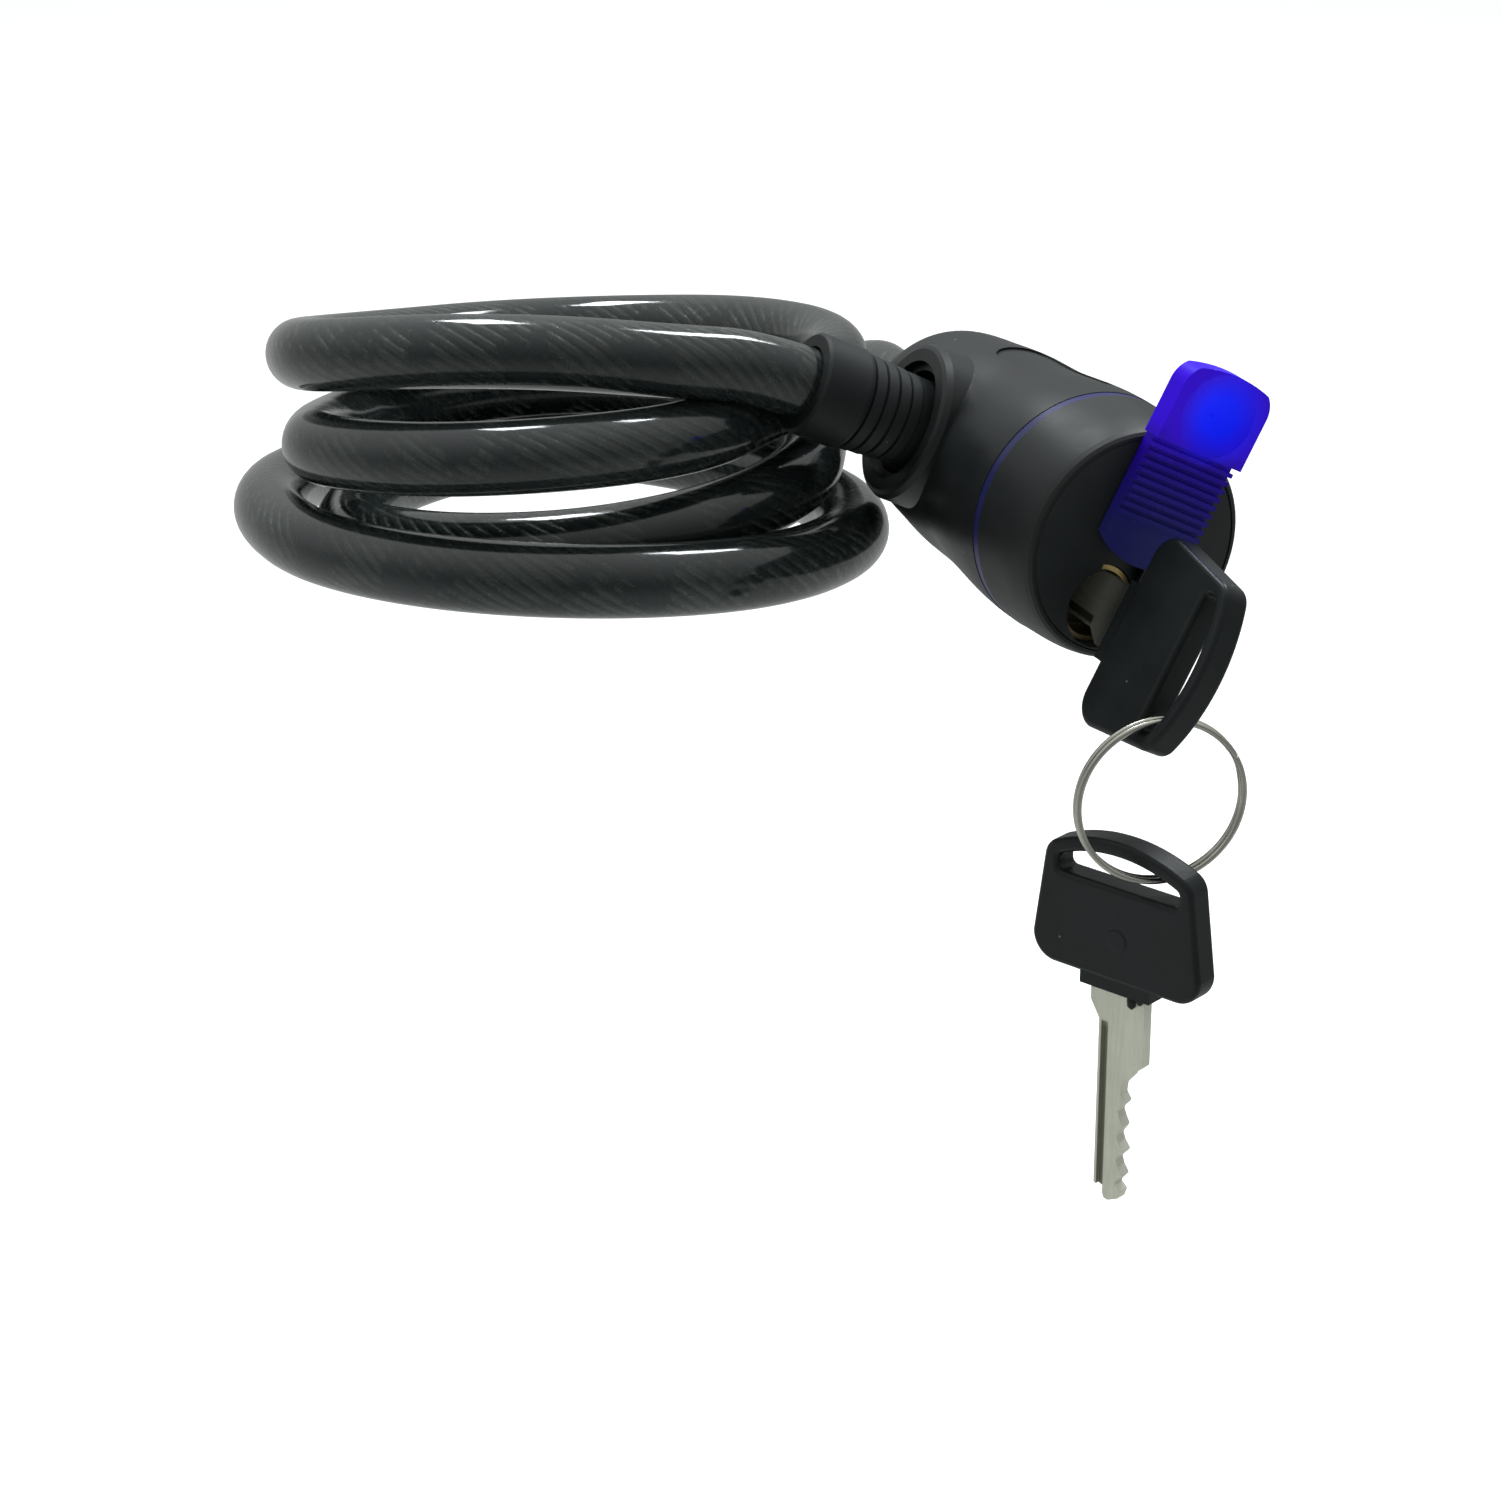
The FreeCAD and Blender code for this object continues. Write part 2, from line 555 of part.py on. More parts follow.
# ---------------------------------------------------------------- cable

def coil_at(angle):
    """Distance and height of the coil at an angle, smooth from one listed place to the next."""
    i = 0
    while i < len(COIL) - 2 and angle < COIL[i + 1][0]:
        i += 1
    span = COIL[i + 1][0] - COIL[i][0]
    t = (angle - COIL[i][0]) / span
    result = []
    for k in (1, 2):
        slopes = []
        for j in (i, i + 1):
            a = COIL[max(j - 1, 0)]
            b = COIL[min(j + 1, len(COIL) - 1)]
            slopes.append((b[k] - a[k]) / (b[0] - a[0]) * span)
        result.append((2 * t ** 3 - 3 * t ** 2 + 1) * COIL[i][k] + (t ** 3 - 2 * t ** 2 + t) * slopes[0]
                      + (3 * t ** 2 - 2 * t ** 3) * COIL[i + 1][k] + (t ** 3 - t ** 2) * slopes[1])
    return result


def cable_route(plug_end, head_end):
    """Corners of the cable's route, from inside the plug's grip to inside the head's rear."""
    points = [PLUG.multVec(V(0, 0, plug_end)), PLUG.multVec(V(0, 0, 46.0))]
    sweep = COIL[-1][0] - COIL[0][0]
    count = round(abs(sweep) / TURN_STEP)
    for i in range(count + 1):
        angle = COIL[0][0] + sweep * i / count
        radius, height = coil_at(angle)
        radius /= CURVE_PULL
        turn = math.radians(angle)
        points.append(V(radius * math.cos(turn), radius * math.sin(turn), height))
    points.append(HEAD.multVec(V(0, 0, -69.0)))
    points.append(HEAD.multVec(V(0, 0, head_end)))
    return points


def rounded_path(points, reach_first, reach_last):
    """Straight runs joined by tangent arcs. Each arc is as large as its two runs allow."""
    edges = []
    radii = []
    last = points[0]
    for i in range(1, len(points) - 1):
        back = points[i - 1] - points[i]
        ahead = points[i + 1] - points[i]
        short = min(back.Length, ahead.Length)
        if i == 1:
            short = min(reach_first, ahead.Length)
        if i == len(points) - 2:
            short = min(back.Length, reach_last)
        turn = math.pi - back.getAngle(ahead)
        back.normalize()
        ahead.normalize()
        trim = 0.45 * short
        radius = trim / math.tan(turn / 2)
        radii.append(radius)
        start = points[i] + back * trim
        end = points[i] + ahead * trim
        inward = back + ahead
        inward.normalize()
        middle = points[i] + inward * (radius / math.cos(turn / 2) - radius)
        edges.append(Part.LineSegment(last, start).toShape())
        edges.append(Part.Arc(start, middle, end).toShape())
        last = end
    edges.append(Part.LineSegment(last, points[-1]).toShape())
    return Part.Wire(edges), radii


def swept(points, radius, hole=0.0):
    """A tube, or a solid rod, along the rounded route."""
    path, radii = rounded_path(points, 46.0 - JACKET_IN_PLUG, 69.0 + JACKET_IN_HEAD)
    direction = points[1] - points[0]
    solid = path.makePipe(Part.Face(Part.Wire(Part.makeCircle(radius, points[0], direction))))
    if hole:
        bore = path.makePipe(Part.Face(Part.Wire(Part.makeCircle(hole, points[0], direction))))
        solid = solid.cut(bore)
    area = math.pi * (radius ** 2 - hole ** 2)
    print("cable radius", radius, "length", round(path.Length, 1), "volume ratio",
          round(solid.Volume / (area * path.Length), 5), "bends", round(min(radii), 1), "to",
          round(max(radii), 1), "valid", solid.isValid())
    return solid


# ---------------------------------------------------------------- nodes

def write(name, shape, placement=None):
    if placement is not None:
        shape = place(shape, placement)
    if not shape.isValid():
        print("not valid:", name)
    shape.exportStep("parts/" + name + ".step")


def main():
    os.makedirs("parts", exist_ok=True)
    in_head = {"rear_shell": rear_shell, "front_shell": front_shell, "seam_ring": seam_ring,
               "face_cap": face_cap, "case_screws": case_screws, "lock_body": lock_body,
               "cylinder_housing": cylinder_housing, "key_plug": key_plug,
               "wafer_tumblers": wafer_tumblers, "tumbler_springs": tumbler_springs, "cam": cam,
               "retaining_clip": retaining_clip, "latch_slider": latch_slider, "latch_spring": latch_spring,
               "ferrule_plate": ferrule_plate, "plate_screws": plate_screws,
               "fixed_ferrule": fixed_ferrule, "rear_grommet": rear_grommet,
               "cover_detent": cover_detent, "keyhole_cover": keyhole_cover}
    in_plug = {"socket_liner": socket_liner, "plug_pin": plug_pin, "plug_grip": plug_grip,
               "plug_ferrule": plug_ferrule}
    for name, make in in_head.items():
        write(name, make(), HEAD)
    for name, make in in_plug.items():
        write(name, make(), PLUG)
    for number, where in ((1, KEY_ONE), (2, spare_frame())):
        write("key_bow_%d" % number, key_bow(), where)
        write("key_blade_%d" % number, key_blade(), where)
    write("split_ring", split_ring(), ring_frame())
    write("cable_jacket", swept(cable_route(JACKET_IN_PLUG, JACKET_IN_HEAD), JACKET_RADIUS, ROPE_BORE))
    write("wire_rope", swept(cable_route(ROPE_IN_PLUG, ROPE_IN_HEAD), ROPE_RADIUS))
    print("ring top", ring_top(), "ring centre", RING_CENTRE, "spare key", spare_frame().Base)


main()
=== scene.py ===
import math

import bpy
import numpy as np
from mathutils import Matrix, Vector


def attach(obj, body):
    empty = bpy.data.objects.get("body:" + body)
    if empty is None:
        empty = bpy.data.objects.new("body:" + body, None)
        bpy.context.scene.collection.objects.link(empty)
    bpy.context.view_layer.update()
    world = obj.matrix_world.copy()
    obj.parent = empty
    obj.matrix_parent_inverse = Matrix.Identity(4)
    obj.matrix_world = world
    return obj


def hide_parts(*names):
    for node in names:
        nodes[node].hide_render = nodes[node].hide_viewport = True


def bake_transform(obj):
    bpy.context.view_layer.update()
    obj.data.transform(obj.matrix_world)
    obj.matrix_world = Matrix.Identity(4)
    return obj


# Looks of the cable lock: smoky cable over a steel rope, satin black lock head with a clear
# blue keyhole cover, black-headed nickel keys on a split ring. Metres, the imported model's frame.

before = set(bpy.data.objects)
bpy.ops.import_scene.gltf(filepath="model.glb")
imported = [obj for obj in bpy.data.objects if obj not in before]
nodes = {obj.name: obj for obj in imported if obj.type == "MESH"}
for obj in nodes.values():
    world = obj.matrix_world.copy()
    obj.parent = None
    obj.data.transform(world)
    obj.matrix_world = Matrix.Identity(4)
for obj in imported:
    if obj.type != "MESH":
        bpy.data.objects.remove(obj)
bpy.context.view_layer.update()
scene = bpy.context.scene
MM = 0.001

# ---------------------------------------------------------------- frames of the moving parts

# The lock head's +Z points out of its face and its +Y to the cover. The keys' +Z points from the
# blade to the bow, the plug's +Z out of the socket, and the ring's +Z along its axis.
HEAD_CENTRE = Vector((0.0866, -0.043, 0.001))
HEAD_TURN = math.radians(25.8)
HEAD_DIP = math.radians(2.9)
HEAD_ROLL = math.radians(27.0)
SOCKET_Z = -0.0293
SOCKET_LEAN = math.radians(7.7)
SOCKET_DROP = math.radians(2.0)
KEY_Y = -0.011
BOW_Z = 0.023
RING_TURN = math.radians(12.6)
RING_CENTRE = Vector((0.095945, -0.083089, -0.032238))
RING_MEAN = 0.01345
SPARE_TURN = math.radians(41.3)
SPARE_BASE = Vector((0.091438, -0.079129, -0.064626))


def frame_matrix(x, y, z, origin):
    """The 4x4 matrix whose columns are the axes x, y and z and the origin."""
    rows = [[x[i], y[i], z[i], origin[i]] for i in range(3)]
    return Matrix(rows + [[0, 0, 0, 1]])


def head_matrix():
    out = Vector((math.cos(HEAD_DIP) * math.sin(HEAD_TURN), -math.cos(HEAD_DIP) * math.cos(HEAD_TURN),
                  -math.sin(HEAD_DIP)))
    level = Vector((math.cos(HEAD_TURN), math.sin(HEAD_TURN), 0))
    steep = out.cross(level)
    slide = (steep * math.cos(HEAD_ROLL) + level * math.sin(HEAD_ROLL)).normalized()
    return frame_matrix(slide.cross(out), slide, out, HEAD_CENTRE)


def socket_matrix():
    z = Vector((-math.cos(SOCKET_LEAN) * math.cos(SOCKET_DROP), -math.sin(SOCKET_DROP),
                -math.sin(SOCKET_LEAN) * math.cos(SOCKET_DROP)))
    x = Vector((0, 1, 0)).cross(z).normalized()
    return frame_matrix(x, z.cross(x), z, Vector((0, 0, SOCKET_Z)))


def spare_matrix():
    width = Vector((math.cos(SPARE_TURN), -math.sin(SPARE_TURN), 0))
    up = Vector((0, 0, 1))
    return frame_matrix(width.cross(up), width, up, SPARE_BASE)


def ring_matrix():
    normal = Vector((math.sin(RING_TURN), -math.cos(RING_TURN), 0))
    along = Vector((math.cos(RING_TURN), math.sin(RING_TURN), 0))
    return frame_matrix(along, normal.cross(along), normal, RING_CENTRE)


HEAD = head_matrix()
PLUG = HEAD @ socket_matrix()
KEY_ONE = HEAD @ Matrix.Translation((0, KEY_Y, BOW_Z))
SPARE = spare_matrix()
RING = ring_matrix()

# ---------------------------------------------------------------- the cable's route

CURVE_PULL = 0.9725     # how far out a smooth curve lies, as a share of its control points' distance
TURN_STEP = 27.5        # degrees between the coil's control points
JACKET_IN_PLUG = 0.0304     # where the jacket and the rope end, on the plug's and the head's Z
JACKET_IN_HEAD = -0.0504
ROPE_IN_PLUG = 0.0225
ROPE_IN_HEAD = -0.0415
PLUG_CORNER = 0.046     # the control points next to the ends, on the same two Z axes
HEAD_CORNER = -0.069
JACKET_RADIUS = 0.006

# The coil as the cable winds, seen from above, clockwise from the plug to the head:
# degrees round from +X, distance from the centre in mm, height in mm.
COIL = [(-62, 40.6, 25.0), (-90, 39.3, 27.6), (-125, 43.2, 26.6), (-152, 46.3, 21.5),
        (-180, 43.0, 15.6), (-205, 44.5, 10.6), (-225, 46.5, 7.2), (-270, 50.0, 4.8),
        (-315, 49.8, 9.0), (-358, 47.0, 13.4), (-376, 40.8, 12.2), (-391, 37.4, 11.4),
        (-419, 44.0, 12.7), (-450, 50.0, 13.6), (-490, 50.5, 9.8), (-540, 39.5, 1.0),
        (-585, 48.0, -5.5), (-630, 57.0, -7.6), (-660, 51.5, -5.4), (-690, 45.5, -3.2),
        (-720, 42.0, -0.6), (-750, 44.5, -0.9), (-780, 44.5, -2.2), (-810, 44.0, -4.2),
        (-855, 40.6, -8.2), (-900, 36.0, -14.5), (-945, 41.0, -16.0), (-990, 45.5, -15.5),
        (-1035, 46.5, -17.2), (-1080, 49.4, -14.0), (-1125, 55.0, -9.0), (-1170, 57.0, -5.0),
        (-1215, 54.4, -6.0), (-1260, 49.6, -10.0), (-1305, 57.0, -17.5), (-1350, 62.5, -21.0),
        (-1372, 65.0, -16.5), (-1392, 65.5, -6.5), (-1405, 64.5, 1.5)]


def coil_at(angle):
    """Distance and height of the coil at an angle, smooth from one listed place to the next."""
    i = 0
    while i < len(COIL) - 2 and angle < COIL[i + 1][0]:
        i += 1
    span = COIL[i + 1][0] - COIL[i][0]
    t = (angle - COIL[i][0]) / span
    result = []
    for k in (1, 2):
        slopes = []
        for j in (i, i + 1):
            a = COIL[max(j - 1, 0)]
            b = COIL[min(j + 1, len(COIL) - 1)]
            slopes.append((b[k] - a[k]) / (b[0] - a[0]) * span)
        result.append((2 * t ** 3 - 3 * t ** 2 + 1) * COIL[i][k] + (t ** 3 - 2 * t ** 2 + t) * slopes[0]
                      + (3 * t ** 2 - 2 * t ** 3) * COIL[i + 1][k] + (t ** 3 - t ** 2) * slopes[1])
    return result


def cable_route(plug_end, head_end):
    """Control points of the cable, from inside the plug's grip to inside the head's rear."""
    points = [PLUG @ Vector((0, 0, plug_end)), PLUG @ Vector((0, 0, PLUG_CORNER))]
    sweep = COIL[-1][0] - COIL[0][0]
    count = round(abs(sweep) / TURN_STEP)
    for i in range(count + 1):
        angle = COIL[0][0] + sweep * i / count
        radius, height = coil_at(angle)
        radius *= MM / CURVE_PULL
        turn = math.radians(angle)
        points.append(Vector((radius * math.cos(turn), radius * math.sin(turn), height * MM)))
    points.append(HEAD @ Vector((0, 0, HEAD_CORNER)))
    points.append(HEAD @ Vector((0, 0, head_end)))
    return points


def line_of(points, resolution):
    """The points along a smooth spline that has these control points."""
    curve = bpy.data.curves.new("route", "CURVE")
    curve.dimensions = "3D"
    spline = curve.splines.new("NURBS")
    spline.points.add(len(points) - 1)
    for place, point in zip(spline.points, points):
        place.co = (*point, 1.0)
    spline.order_u = 3
    spline.use_endpoint_u = True
    spline.resolution_u = resolution
    holder = bpy.data.objects.new("route", curve)
    scene.collection.objects.link(holder)
    bpy.context.view_layer.update()
    mesh = bpy.data.meshes.new_from_object(holder)
    line = np.array([v.co for v in mesh.vertices])
    bpy.data.objects.remove(holder)
    bpy.data.meshes.remove(mesh)
    bpy.data.curves.remove(curve)
    return line


# ---------------------------------------------------------------- mesh code

def moving_frames(line):
    """Tangents and two cross directions that never twist about the line, and arc lengths."""
    steps = np.diff(line, axis=0)
    lengths = np.linalg.norm(steps, axis=1)
    runs = steps / lengths[:, None]
    tangents = np.vstack([runs[:1], runs[:-1] + runs[1:], runs[-1:]])
    tangents /= np.linalg.norm(tangents, axis=1)[:, None]
    starts_upright = abs(tangents[0][2]) > 0.9
    side = np.cross(tangents[0], (1.0, 0.0, 0.0) if starts_upright else (0.0, 0.0, 1.0))
    side /= np.linalg.norm(side)
    sides = [side]
    for i in range(1, len(line)):
        side = side - tangents[i] * (side @ tangents[i])
        side = side / np.linalg.norm(side)
        sides.append(side)
    sides = np.array(sides)
    return tangents, sides, np.cross(tangents, sides), np.concatenate([[0.0], np.cumsum(lengths)])


def add_tube(parts, line, radius, around):
    """Appends a closed round tube's vertices and faces to the two lists in parts. The radius is one
    number, or one for each point of the line."""
    vertices, faces = parts
    radii = np.broadcast_to(radius, len(line))
    _, sides, ups, _ = moving_frames(line)
    base = len(vertices)
    angles = [2 * math.pi * k / around for k in range(around)]
    for i, centre in enumerate(line):
        for a in angles:
            vertices.append(centre + radii[i] * (math.cos(a) * sides[i] + math.sin(a) * ups[i]))
    for i in range(len(line) - 1):
        for k in range(around):
            n = (k + 1) % around
            low = base + i * around
            high = low + around
            faces.append((low + k, low + n, high + n, high + k))
    last = base + (len(line) - 1) * around
    faces.append(tuple(reversed(range(base, base + around))))
    faces.append(tuple(range(last, last + around)))


def mesh_object(name, parts, material):
    """An object with this mesh, smooth along its tubes and flat on their ends."""
    vertices, faces = parts
    mesh = bpy.data.meshes.new(name)
    mesh.from_pydata([tuple(v) for v in vertices], [], faces)
    for polygon in mesh.polygons:
        polygon.use_smooth = len(polygon.vertices) == 4
    mesh.materials.append(material)
    mesh.update()
    made = bpy.data.objects.new(name, mesh)
    scene.collection.objects.link(made)
    return made


# ---------------------------------------------------------------- material code

EDGE_ROUNDING = 0.00012
ROUGHNESS_SPREAD = 0.07     # how far a moulding's roughness strays from its mean
TOOL_GRAIN = 1800.0


def node(tree, kind, inputs=None, **settings):
    """A new shader node. An input is a plain value or another node's output."""
    made = tree.nodes.new("ShaderNode" + kind)
    for key, value in settings.items():
        setattr(made, key, value)
    for key, value in (inputs or {}).items():
        if isinstance(value, bpy.types.NodeSocket):
            tree.links.new(value, made.inputs[key])
        else:
            made.inputs[key].default_value = value
    return made


def new_material(name, **settings):
    """A Principled material, with its plain values set on the shader's own sockets."""
    material = bpy.data.materials.new(name)
    material.use_nodes = True
    tree = material.node_tree
    shader = tree.nodes["Principled BSDF"]
    for key, value in settings.items():
        shader.inputs[key.replace("_", " ")].default_value = value
    return material, tree, shader


def object_space(tree, place=None, stretch=(1, 1, 1)):
    """Object coordinates in metres, in the frame of place, each axis divided by its stretch."""
    coords = node(tree, "TexCoord").outputs["Object"]
    place = place or Matrix.Identity(4)
    return node(tree, "Mapping", {"Vector": coords, "Location": place.translation,
                                  "Rotation": place.to_euler(), "Scale": stretch},
                vector_type="TEXTURE").outputs["Vector"]


def noise(tree, vector, scale, detail=3.0, roughness=0.55):
    return node(tree, "TexNoise", {"Vector": vector, "Scale": scale, "Detail": detail,
                                   "Roughness": roughness}).outputs["Fac"]


def remap(tree, value, low, high, to_low, to_high):
    return node(tree, "MapRange", {"Value": value, "From Min": low, "From Max": high,
                                   "To Min": to_low, "To Max": to_high}).outputs["Result"]


def maths(tree, operation, a, b):
    return node(tree, "Math", {0: a, 1: b}, operation=operation).outputs[0]


def blend_colour(tree, factor, a, b):
    """Colour a where the factor is 0, and b where it is 1. The Mix node's colours are numbered."""
    return node(tree, "Mix", {0: factor, 6: a, 7: b}, data_type="RGBA").outputs[2]


def bump(tree, height, distance, normal=None):
    inputs = {"Height": height, "Distance": distance}
    if normal is not None:
        inputs["Normal"] = normal
    return node(tree, "Bump", inputs).outputs["Normal"]


def rounded_edges(tree):
    return node(tree, "Bevel", {"Radius": EDGE_ROUNDING}, samples=4).outputs["Normal"]


def rgb(r, g, b):
    return (r, g, b, 1.0)


def scaled(colour, factor):
    return (colour[0] * factor, colour[1] * factor, colour[2] * factor, 1.0)


def specks(tree, vector, scale, size, share):
    """1 in a few small round dots, one in some of the cells, and 0 elsewhere."""
    cells = node(tree, "TexVoronoi", {"Vector": vector, "Scale": scale})
    dot = remap(tree, cells.outputs["Distance"], size * 0.6, size, 1.0, 0.0)
    pick = node(tree, "SeparateColor", {0: cells.outputs["Color"]}).outputs[0]
    return maths(tree, "MULTIPLY", dot, maths(tree, "GREATER_THAN", pick, 1.0 - share))


def moulded(name, colour, roughness, grain=1500.0, depth=0.000012, dust=0.06, sheen=0.32):
    """Moulded plastic or rubber: fine spark-etched grain, handling marks and a little dust."""
    material, tree, shader = new_material(name, Specular_IOR_Level=sheen)
    space = object_space(tree)
    broad = noise(tree, space, 70.0, 4.0)
    fine = noise(tree, space, grain, 3.0, 0.6)
    shade = blend_colour(tree, remap(tree, broad, 0.3, 0.7, 0.0, 1.0), scaled(colour, 0.82),
                         scaled(colour, 1.22))
    shade = blend_colour(tree, specks(tree, space, 330.0, 0.07, dust), shade, rgb(0.16, 0.16, 0.15))
    tree.links.new(shade, shader.inputs["Base Color"])
    scuff = noise(tree, object_space(tree, HEAD, (1, 1, 3)), 420.0, 2.0)
    uneven = remap(tree, broad, 0.3, 0.7, roughness - ROUGHNESS_SPREAD, roughness + ROUGHNESS_SPREAD)
    rough = maths(tree, "ADD", uneven, remap(tree, scuff, 0.62, 0.8, 0.0, -0.08))
    tree.links.new(rough, shader.inputs["Roughness"])
    tree.links.new(bump(tree, fine, depth, rounded_edges(tree)), shader.inputs["Normal"])
    return material


def metal(name, colour, roughness, place, stretch=(1, 1, 1), depth=0.000006, tarnish=0.75,
          metallic=1.0):
    """Worked metal: fine tool marks drawn out along one way, smudges and duller patches."""
    material, tree, shader = new_material(name, Metallic=metallic)
    space = object_space(tree, place)
    marks = noise(tree, object_space(tree, place, stretch), TOOL_GRAIN, 3.0, 0.6)
    broad = noise(tree, space, 140.0, 4.0)
    shade = blend_colour(tree, remap(tree, broad, 0.3, 0.72, 0.0, 1.0), scaled(colour, tarnish), colour)
    shade = blend_colour(tree, remap(tree, marks, 0.35, 0.7, 0.0, 0.35), shade, scaled(colour, 0.72))
    tree.links.new(shade, shader.inputs["Base Color"])
    rough = maths(tree, "ADD", remap(tree, broad, 0.3, 0.7, roughness + 0.07, roughness - 0.05),
                  remap(tree, marks, 0.3, 0.7, -0.05, 0.06))
    tree.links.new(rough, shader.inputs["Roughness"])
    tree.links.new(bump(tree, marks, depth, rounded_edges(tree)), shader.inputs["Normal"])
    return material


def jacket_material():
    """Smoky clear vinyl: dark tint, high gloss, faint waviness, dust and hairline scuffs."""
    material, tree, shader = new_material("jacket_smoke", Transmission_Weight=0.68, IOR=1.5,
                                          Coat_Weight=0.2, Coat_Roughness=0.04)
    space = object_space(tree)
    broad = noise(tree, space, 45.0, 3.0)
    tint = blend_colour(tree, remap(tree, broad, 0.3, 0.7, 0.0, 1.0), rgb(0.025, 0.036, 0.035),
                        rgb(0.04, 0.053, 0.051))
    tree.links.new(tint, shader.inputs["Base Color"])
    scuff = noise(tree, space, 900.0, 4.0, 0.7)
    rough = maths(tree, "ADD", remap(tree, broad, 0.3, 0.7, 0.08, 0.13),
                  remap(tree, scuff, 0.6, 0.8, 0.0, 0.12))
    tree.links.new(rough, shader.inputs["Roughness"])
    wave = bump(tree, noise(tree, space, 160.0, 2.0), 0.00006)
    dust = maths(tree, "ADD", scuff, specks(tree, space, 420.0, 0.09, 0.12))
    tree.links.new(bump(tree, dust, 0.000006, wave), shader.inputs["Normal"])
    return material


def rope_material():
    """Galvanised strands: painted shade dark in the hollows between them, painted highlight on the crests in
    patches, and some random grime.
    """
    material, tree, shader = new_material("rope_steel", Metallic=0.8)
    crest = node(tree, "Attribute", attribute_name="crest").outputs["Fac"]
    space = object_space(tree)
    patches = noise(tree, space, 110.0, 3.0, 0.6)
    grime = noise(tree, space, 230.0, 3.0, 0.6)
    # Painted shade and highlight: the crest attribute darkens the hollows and brightens the crests; the
    # grime and patch noise only vary it.
    painted_crest_shade_and_grime = maths(tree, "ADD", remap(tree, crest, 0.5, 1.0, 0.0, 0.9),
                 remap(tree, grime, 0.38, 0.62, -0.2, 0.25))
    painted_crest_shade_and_grime = maths(tree, "MULTIPLY", painted_crest_shade_and_grime, remap(tree, patches, 0.42, 0.56, 0.05, 2.2))
    # Near black is the painted shade of the hollows, pale steel the painted highlight of the crests.
    steel = blend_colour(tree, painted_crest_shade_and_grime, rgb(0.012, 0.012, 0.011), rgb(0.95, 0.84, 0.7))
    tree.links.new(steel, shader.inputs["Base Color"])
    tree.links.new(remap(tree, grime, 0.4, 0.65, 0.42, 0.2), shader.inputs["Roughness"])
    tree.links.new(bump(tree, grime, 0.00005), shader.inputs["Normal"])
    return material


def cover_material():
    """Translucent blue polycarbonate with painted light: it glows faintly, is painted bright in the thumb
    dish, and painted dark navy as shade where it lies on the face.
    """
    # The emission is a painted glow.
    material, tree, shader = new_material("cover_blue", Transmission_Weight=0.2, IOR=1.35,
                                          Specular_IOR_Level=0.05, Emission_Strength=0.17)
    space = object_space(tree)
    along = node(tree, "SeparateXYZ", {0: object_space(tree, HEAD)}).outputs["Y"]
    broad = noise(tree, space, 90.0, 4.0)
    along = maths(tree, "ADD", along, remap(tree, broad, 0.3, 0.7, -0.0012, 0.0012))
    # Painted shade: navy where the cover lies on the face, brighter blue toward its far end.
    colour = blend_colour(tree, remap(tree, along, 0.002, 0.014, 0.0, 1.0), rgb(0.014, 0.016, 0.1),
                          rgb(0.013, 0.002, 0.22))
    colour = blend_colour(tree, remap(tree, along, 0.015, 0.02, 0.0, 1.0), colour, rgb(0.034, 0.001, 0.6))
    dish = node(tree, "VectorMath", {0: object_space(tree, HEAD @ Matrix.Translation(DISH))},
                operation="LENGTH").outputs["Value"]
    # Painted light: the thumb dish is painted bright blue.
    colour = blend_colour(tree, remap(tree, dish, 0.003, 0.0085, 1.0, 0.0), colour, rgb(0.004, 0.016, 1.0))
    colour = blend_colour(tree, specks(tree, space, 420.0, 0.08, 0.1), colour, rgb(0.25, 0.3, 0.6))
    tree.links.new(colour, shader.inputs["Base Color"])
    # The same colour is fed to the emission, so the painted light glows.
    tree.links.new(colour, shader.inputs["Emission Color"])
    tree.links.new(remap(tree, broad, 0.3, 0.7, 0.3, 0.4), shader.inputs["Roughness"])
    tree.links.new(bump(tree, noise(tree, space, 1300.0, 3.0), 0.00001), shader.inputs["Normal"])
    return material


def blade_metal(name, place, root_shade):
    """Plated blade, with shade painted dark into its groove and at its root."""
    material = metal(name, rgb(0.72, 0.735, 0.62), 0.46, place, (1, 1, 14), tarnish=0.88, metallic=0.7)
    tree = material.node_tree
    shader = tree.nodes["Principled BSDF"]
    shade = shader.inputs["Base Color"].links[0].from_socket
    spot = node(tree, "SeparateXYZ", {0: object_space(tree, place)})
    across = spot.outputs["Y"]
    along = spot.outputs["Z"]
    # Painted shade: the groove darkens toward a dark olive grey.
    groove = maths(tree, "MULTIPLY", remap(tree, across, -0.0031, -0.0029, 0.0, 1.0),
                   remap(tree, across, -0.0020, -0.0015, 1.0, 0.0))
    groove = maths(tree, "MULTIPLY", groove, remap(tree, along, -0.0095, -0.0075, 0.85, 0.0))
    shade = blend_colour(tree, groove, shade, rgb(0.14, 0.14, 0.1))
    # Painted shade: the blade darkens toward near black at its root, by the last argument's share.
    root = remap(tree, along, -0.014, -0.004, 0.0, root_shade)
    shade = blend_colour(tree, root, shade, rgb(0.03, 0.031, 0.027))
    tree.links.new(shade, shader.inputs["Base Color"])
    return material


